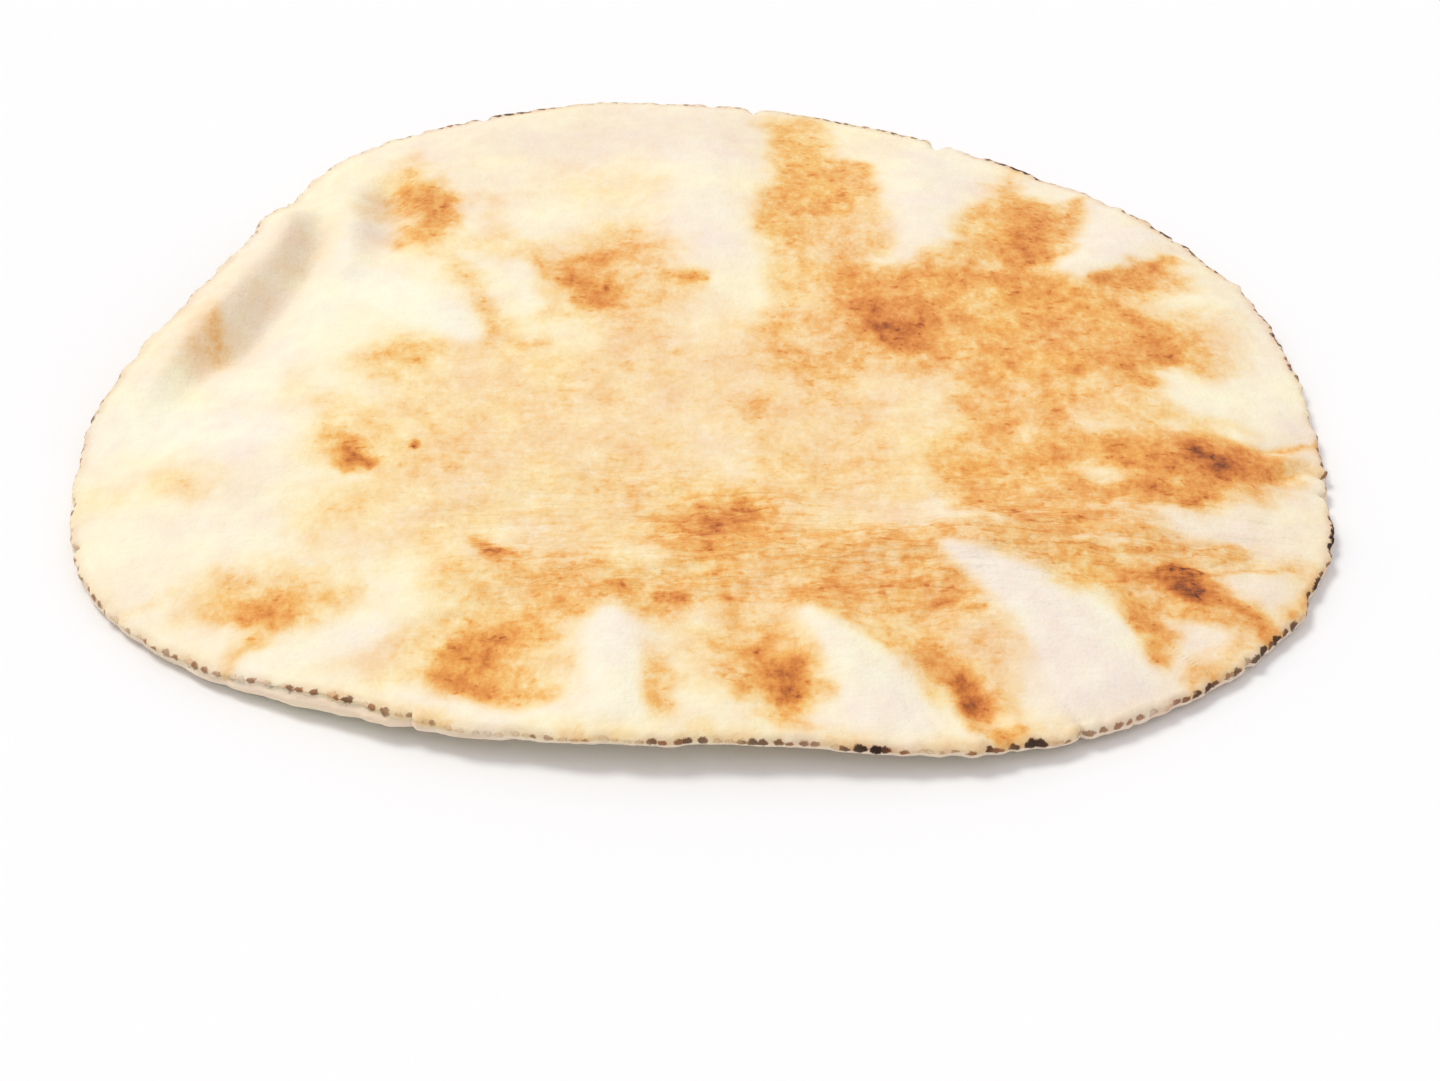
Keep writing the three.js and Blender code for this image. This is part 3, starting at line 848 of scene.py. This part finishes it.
BURNT_STRETCHES = [  # clock angle, spread, how burnt
    (285, 3.5, 1.0), (293.5, 1.5, 1.0), (297.5, 3, 0.9), (305, 6, 0.4), (314, 6, 0.75), (322, 6, 0.8),
    (331, 4, 0.9), (338, 5, 1.0), (350, 6, 0.6), (10, 12, 0.7), (30, 14, 0.8), (52, 6, 0.9), (72, 10, 0.6),
    (90, 10, 0.4), (112, 12, 0.7), (150, 20, 0.3), (184, 10, 0.5), (206, 12, 0.5), (222, 8, 0.5),
    (236, 8, 0.65), (255, 12, 0.4), (268, 5, 0.7), (276, 5, 0.6),
]
LEAST_BURN = 0.15
burn = LEAST_BURN + 0 * x
for at, spread, burnt in BURNT_STRETCHES:
    burn = np.maximum(burn, burnt * bell(turn_between(all_angle, at) / spread))

RIM_STARTS = 166                     # clock angle on the lip, where the count along the rim starts
RIM_GAP = 0.6                        # degrees either side of it without a burnt bead
MEAN_RADIUS = (WIDTH + DEPTH) / 4
along_rim = np.radians((all_angle - RIM_STARTS) % 360) * MEAN_RADIUS
burn = burn * ease(abs(turn_between(all_angle, RIM_STARTS)) - RIM_GAP)

CRINKLED_ELSEWHERE = 0.2
crinkled_all = np.where(is_top, crinkled(x, y), CRINKLED_ELSEWHERE)
painted = {"tone": tone, "hue": hue, "above_seam": above_seam, "along_rim": along_rim, "burn": burn,
           "crinkled": crinkled_all, "shade": shade}
for name, values in painted.items():
    layer = skin.attributes.new(name, "FLOAT", "POINT")
    layer.data.foreach_set("value", values.astype(np.float32))
    print("attribute", name, "from", values.min().round(2), "to", values.max().round(2))

# %% [markdown]
# ## Shader sums
# A node tree is hard to read as wires, and easy as sums. One small class wraps a socket, so that
# `1 - mask` or `tone * 0.5 + grain` adds the Math nodes for itself. Every other kind of node comes from
# one method, which sets the node's settings first and then its sockets, from numbers or from values.

# %% A value in a material
class Value:
    """A socket that can be used in sums. + - * and abs() add a Math node each and give its result as a
    new Value."""

    def __init__(self, tree, socket):
        self.tree, self.socket = tree, socket

    def node(self, kind, settings=None, out=0, **sockets):
        """Adds a node of a kind, sets it up, then fills its sockets. They are named in words with _ for
        spaces, or in_0, in_1 and so on where several share a name."""
        new = self.tree.nodes.new(kind)
        for key, setting in (settings or {}).items():
            if key == "stops":
                ramp = new.color_ramp
                while len(ramp.elements) < len(setting):
                    ramp.elements.new(0.5)
                for element, (place, colour) in zip(ramp.elements, setting):
                    element.position, element.color = place, colour
            else:
                setattr(new, key, setting)
        for key, given in sockets.items():
            wanted = key.replace("_", " ")
            if wanted.startswith("in "):
                socket = new.inputs[int(wanted[3:])]
            else:
                socket = next(s for s in new.inputs if s.name == wanted and s.enabled)
            if isinstance(given, Value):
                self.tree.links.new(given.socket, socket)
            else:
                socket.default_value = given
        outputs = [s for s in new.outputs if s.enabled and out in (0, s.name)]
        return Value(self.tree, outputs[0] if outputs else None)

    def math(self, operation, *given):
        """A Math node of an operation, fed with values or numbers in order."""
        inputs = {f"in_{i}": value for i, value in enumerate(given)}
        return self.node("ShaderNodeMath", {"operation": operation}, **inputs)

    def __add__(self, other):
        return self.math("ADD", self, other)

    def __sub__(self, other):
        return self.math("SUBTRACT", self, other)

    def __rsub__(self, other):
        return self.math("SUBTRACT", other, self)

    def __mul__(self, other):
        return self.math("MULTIPLY", self, other)

    def __abs__(self):
        return self.math("ABSOLUTE", self)

    __radd__, __rmul__ = __add__, __mul__

    def root(self):
        """The square root."""
        return self.math("SQRT", self)

    def between(self, start, end):
        """0 where the value is at start, 1 at end, and a smooth step between."""
        return self.node("ShaderNodeMapRange", {"interpolation_type": "SMOOTHSTEP"},
                         Value=self, From_Min=start, From_Max=end)


def new_material(name):
    """A material with nothing in it, not even its output, and a Value to start sums from."""
    material = bpy.data.materials.new(name)
    material.use_nodes = True
    material.node_tree.nodes.clear()
    return material, Value(material.node_tree, None)


def srgb(r, g, b):
    """A colour as the eye reads it, from 0 to 255, turned into the linear light that a shader works
    in."""
    return tuple(((c / 255 + 0.055) / 1.055) ** 2.4 if c > 10 else c / 3294 for c in (r, g, b)) + (1.0,)


# %% [markdown]
# ## The crust
# Baked flour is matt. Its colour follows the tone that was painted, but never cleanly: the toast breaks
# up into mottles a few millimetres across and grains under one, and along the crinkles into streaks.
# Painted shade darkens it beside the lip and at the back. On the rim the beads of the seam are
# charred. The relief too fine for the mesh goes into a bump.

# %% Crust material
crust, shader = new_material("baked_crust")
where = shader.node("ShaderNodeTexCoord", out="Object")


def attribute(name):
    """A number that was painted on the mesh."""
    return shader.node("ShaderNodeAttribute", {"attribute_name": name}, out="Fac")


def noise(size_mm, detail=2.0, roughness=0.5, stretch=(1, 1, 1), offset=0.0):
    """Random shade from about 0 to 1 in spots of a size in mm, stretched along the axes."""
    mapped = shader.node("ShaderNodeMapping", Vector=where, Scale=tuple(1 / s for s in stretch),
                         Location=(offset, offset, offset))
    return shader.node("ShaderNodeTexNoise", {"noise_dimensions": "3D"}, Vector=mapped,
                       Scale=1 / (size_mm * MM), Detail=detail, Roughness=roughness)


def mixed(amount, first, second):
    """Two colours mixed by an amount."""
    return shader.node("ShaderNodeMix", {"data_type": "RGBA"}, Factor=amount, A=first, B=second)


def multiplied(first, second):
    """Two colours multiplied, as when light passes one filter and then another."""
    settings = {"data_type": "RGBA", "blend_type": "MULTIPLY"}
    return shader.node("ShaderNodeMix", settings, Factor=1.0, A=first, B=second)


tone_in, hue_in, painted_shade_in, crinkled_in = (attribute(name) for name in ("tone", "hue", "shade", "crinkled"))
above_seam_in, along_rim_in, burn_in = (attribute(name) for name in ("above_seam", "along_rim", "burn"))
print("the crust reads", len(painted), "attributes")

# %% Tone, broken up
HALF = 0.5              # the middle of a noise, which is taken off so that it darkens as much as it lightens
DEEPER = (1, 1.4, 1)    # spots a little longer from front to back
mottle = noise(5.0, 4, 0.62, stretch=DEEPER) - HALF
flake = noise(2.6, 3, 0.55, stretch=DEEPER, offset=4.7) - HALF
grain = noise(1.0, 2, 0.6, stretch=DEEPER, offset=3.1) - HALF
streak = noise(2.0, 3, 0.55, stretch=(5, 1, 1), offset=7.7) - HALF
crease = 1 - abs(noise(4.6, 3, 0.55, stretch=(3.6, 1, 1), offset=2.3) - HALF).between(0.0, 0.05)
speck = noise(2.0, 1, 0.4, stretch=(1.3, 1, 1), offset=11.0).between(0.64, 0.72)
toastiness = tone_in.between(0.04, 0.5) * (1 - tone_in.between(0.6, 1.0) * 0.5)


def strength(pale, more):
    """How far a noise moves the tone: this much on pale dough, and so much more on toast."""
    return toastiness * more + pale


CREASE_TONE, SPECK_TONE = 0.12, 0.13     # how much darker a crease and a speck are on toast
tone_now = tone_in + mottle * strength(pale=0.13, more=0.43) + flake * strength(pale=0.07, more=0.36)
tone_now = tone_now + grain * strength(pale=0.06, more=0.20)
tone_now = tone_now + streak * crinkled_in * strength(pale=0.10, more=0.34)
tone_now = tone_now + crease * crinkled_in * toastiness * CREASE_TONE + speck * toastiness * SPECK_TONE
print("breaking up the tone has taken", len(crust.node_tree.nodes), "nodes")

# %% Toast colours
LIGHT_GAIN = 1.05       # the studio light shows a colour this much lighter than it is mixed


def baked(r, g, b):
    """A colour as it should look in the studio light, mixed darker by the light's gain."""
    red, green, blue, alpha = srgb(r, g, b)
    return (red / LIGHT_GAIN, green / LIGHT_GAIN, blue / LIGHT_GAIN, alpha)


TOAST_RAMP = [
    (0.00, baked(253, 246, 233)), (0.12, baked(252, 238, 212)), (0.24, baked(251, 226, 184)),
    (0.36, baked(248, 212, 156)), (0.48, baked(244, 191, 117)), (0.60, baked(238, 168, 88)),
    (0.72, baked(224, 142, 67)), (0.82, baked(200, 115, 50)), (0.91, baked(158, 88, 44)),
    (1.00, baked(92, 54, 34)),
]
YELLOW, ROSY = (1.0, 1.02, 0.90, 1), (0.95, 0.90, 0.91, 1)      # light that each hue lets through
SUNLIT, SHADY = (1.0, 1.0, 1.0, 1), (0.88, 0.85, 0.84, 1)       # and the same for the painted shade
HUE_MOTTLE, HUE_DRIFT = 0.9, 1.2                                # how far noises of 5 and 9 mm move the hue
hue_now = hue_in + mottle * HUE_MOTTLE + (noise(9.0, 2, 0.5, offset=13.0) - HALF) * HUE_DRIFT
toasted = shader.node("ShaderNodeValToRGB", {"stops": TOAST_RAMP}, Fac=tone_now)
# The hue tints the toast colour, and the painted shade greys it where it was painted.
tinted_and_shaded = multiplied(multiplied(toasted, mixed(hue_now, YELLOW, ROSY)), mixed(painted_shade_in, SUNLIT, SHADY))
print("the ramp has", len(TOAST_RAMP), "colours")

# %% The charred seam
BEAD_SIZE = 2.7                          # mm from one bead of the seam to the next
BEAD_LINE = 0.9                          # mm above the seam
BEAD_SCATTER = 0.7                       # 0 evenly spaced, 1 wholly random
LEAST, BURNT_MORE, LUCKY_MORE = 0.12, 0.32, 0.16     # a bead's radius, in shares of BEAD_SIZE
RAGGED, BEAD_SOFT = 0.5, 0.10            # how uneven and how soft its outline is, likewise
ODDS_MORE, ODDS_LEAST = 1.3, 0.1         # a bead is burnt where its odds are over its own random number
CHAR_MORE, CHAR_LEAST, CHAR_LUCK = 0.4, 0.6, 0.5     # how dark it then is
BROWN_FROM, BROWN_TO = (-0.5, 0.5), (1.2, 4.4)       # mm above the seam, where the brown begins and ends
BROWN_MORE, BROWN_LEAST = 0.75, 0.15                 # how brown, by how burnt
BROWN_BETWEEN, BROWN_AT_BEAD, BROWN_MOTTLE = 0.55, 0.45, 1.6
LOWER_FROM, LOWER_TO, LOWER_SHARE = (-0.6, 0.1), (-3.8, -1.8), 0.7       # the pale lower skin, likewise


def beads(out):
    """Beads along the rim: how far a point is from the nearest bead's middle, or that bead's own random
    colour."""
    return shader.node("ShaderNodeTexVoronoi", {"voronoi_dimensions": "1D", "feature": "F1"}, out=out,
                       W=along_rim_in * (1 / BEAD_SIZE), Scale=1.0, Randomness=BEAD_SCATTER)


off_line = (above_seam_in - BEAD_LINE) * (1 / BEAD_SIZE)
off_middle = beads("Distance")
from_bead = (off_middle * off_middle + off_line * off_line).root()
ragged = (noise(0.9, 2, 0.5, offset=6.0) - HALF) * RAGGED
chance = shader.node("ShaderNodeSeparateColor", out="Red", Color=beads("Color"))
luck = shader.node("ShaderNodeSeparateColor", out="Green", Color=beads("Color"))
bead_radius = burn_in * BURNT_MORE + luck * LUCKY_MORE + LEAST + ragged
bead = (bead_radius - from_bead).between(-BEAD_SOFT, BEAD_SOFT)
odds = burn_in * ODDS_MORE - chance + ODDS_LEAST
is_burnt = odds.between(0.0, 0.3) * (CHAR_LEAST + burn_in * CHAR_MORE)
halo = above_seam_in.between(*BROWN_FROM) * (1 - above_seam_in.between(*BROWN_TO))
unevenly = BROWN_BETWEEN + bead * BROWN_AT_BEAD + mottle * BROWN_MOTTLE
browned = halo * (burn_in * BROWN_MORE + BROWN_LEAST) * unevenly
lower_band = (1 - above_seam_in.between(*LOWER_FROM)) * above_seam_in.between(*LOWER_TO)
edge_colour = mixed(browned, tinted_and_shaded, baked(208, 148, 96))
edge_colour = mixed(lower_band * LOWER_SHARE, edge_colour, baked(242, 216, 192))
darkness = (burn_in + luck * CHAR_LUCK).between(0.6, 1.2)
char_colour = mixed(darkness, baked(150, 92, 52), baked(48, 27, 20))
colour = mixed(bead * is_burnt, edge_colour, char_colour)
print("the beads are", BEAD_SIZE, "mm apart")

# %% Fine relief and finish
pores = noise(0.9, 2, 0.5, offset=5.0)
crumbs = noise(2.4, 3, 0.6, offset=9.0)
STREAK_UP, CREASE_DOWN, CRUMB_UP, PORE_UP = 1.4, 0.15, 0.5, 0.25     # shares of the bump's height
FLAKE_UP, MOTTLE_UP, BEAD_UP = 0.3, 0.3, 0.5
BUMP_HEIGHT, BUMP_STRENGTH = 0.7 * MM, 0.8
height = streak * crinkled_in * STREAK_UP - crease * crinkled_in * toastiness * CREASE_DOWN
height = height + crumbs * CRUMB_UP + pores * PORE_UP + flake * FLAKE_UP + mottle * MOTTLE_UP + bead * BEAD_UP
bumped = shader.node("ShaderNodeBump", Strength=BUMP_STRENGTH, Distance=BUMP_HEIGHT, Height=height)
FLOURY_ROUGHNESS, TOAST_SMOOTHER, GRAIN_ROUGHER = 0.86, 0.14, 0.1
roughness = FLOURY_ROUGHNESS - toastiness * TOAST_SMOOTHER + grain * GRAIN_ROUGHER
surface = shader.node("ShaderNodeBsdfPrincipled", Base_Color=colour, Roughness=roughness, Normal=bumped,
                      Specular_IOR_Level=0.3)
shader.node("ShaderNodeOutputMaterial", Surface=surface)
skin.materials.append(crust)
print("the crust has", len(crust.node_tree.nodes), "nodes")

# %% [markdown]
# ## The studio
# A white sky would show no folds, and a bare lamp would cut them too hard. Soft light from all round
# keeps the shade light, and one wide sun high at the back left models the folds and gives the bread a
# soft shadow. The floor is plain, pale and matt.

# %% Floor, sun and sky
FLOOR_SIDE = 8.0        # metres
FLOOR_COLOUR = (0.92, 0.92, 0.92, 1)
floor_mesh = bpy.data.meshes.new("floor")
corner = FLOOR_SIDE / 2
floor_mesh.from_pydata([(-corner, -corner, low[2]), (corner, -corner, low[2]), (corner, corner, low[2]),
                        (-corner, corner, low[2])], [], [(0, 1, 2, 3)])
floor = bpy.data.objects.new("floor", floor_mesh)
bpy.context.scene.collection.objects.link(floor)
paper, shader = new_material("pale_floor")
matt = shader.node("ShaderNodeBsdfPrincipled", Base_Color=FLOOR_COLOUR, Roughness=0.9,
                   Specular_IOR_Level=0.1)
shader.node("ShaderNodeOutputMaterial", Surface=matt)
floor_mesh.materials.append(paper)
floor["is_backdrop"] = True

SUN_TOWARDS = np.array([-0.42, 0.26, 0.87])
SUN_STRENGTH, SUN_WIDTH = 1.27, 24.0       # a width of many degrees makes its shadows soft
sun = bpy.data.objects.new("window_light", bpy.data.lights.new("window_light", "SUN"))
sun.data.energy, sun.data.angle, sun.data.color = SUN_STRENGTH, math.radians(SUN_WIDTH), (1.0, 1.0, 0.95)
sun.location = SUN_TOWARDS
sun.rotation_euler = sun.location.to_track_quat("Z", "Y").to_euler()
bpy.context.scene.collection.objects.link(sun)

SKY_COLOUR, SKY_STRENGTH = (0.985, 0.97, 1.0, 1), 0.75
sky = bpy.data.worlds.new("studio")
sky.use_nodes = True
sky.node_tree.nodes["Background"].inputs["Color"].default_value = SKY_COLOUR
sky.node_tree.nodes["Background"].inputs["Strength"].default_value = SKY_STRENGTH
bpy.context.scene.world = sky
bpy.context.scene.view_settings.view_transform = "Standard"

# %% Hand the bread over
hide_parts("pita_bread")
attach(pita, "root")

new_low, new_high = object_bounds()
sizes = {"cad": [list(cad_low), list(cad_high)], "visual": [list(new_low), list(new_high)]}
print("the bread measures", [round((b - a) / MM, 1) for a, b in zip(new_low, new_high)], "mm")
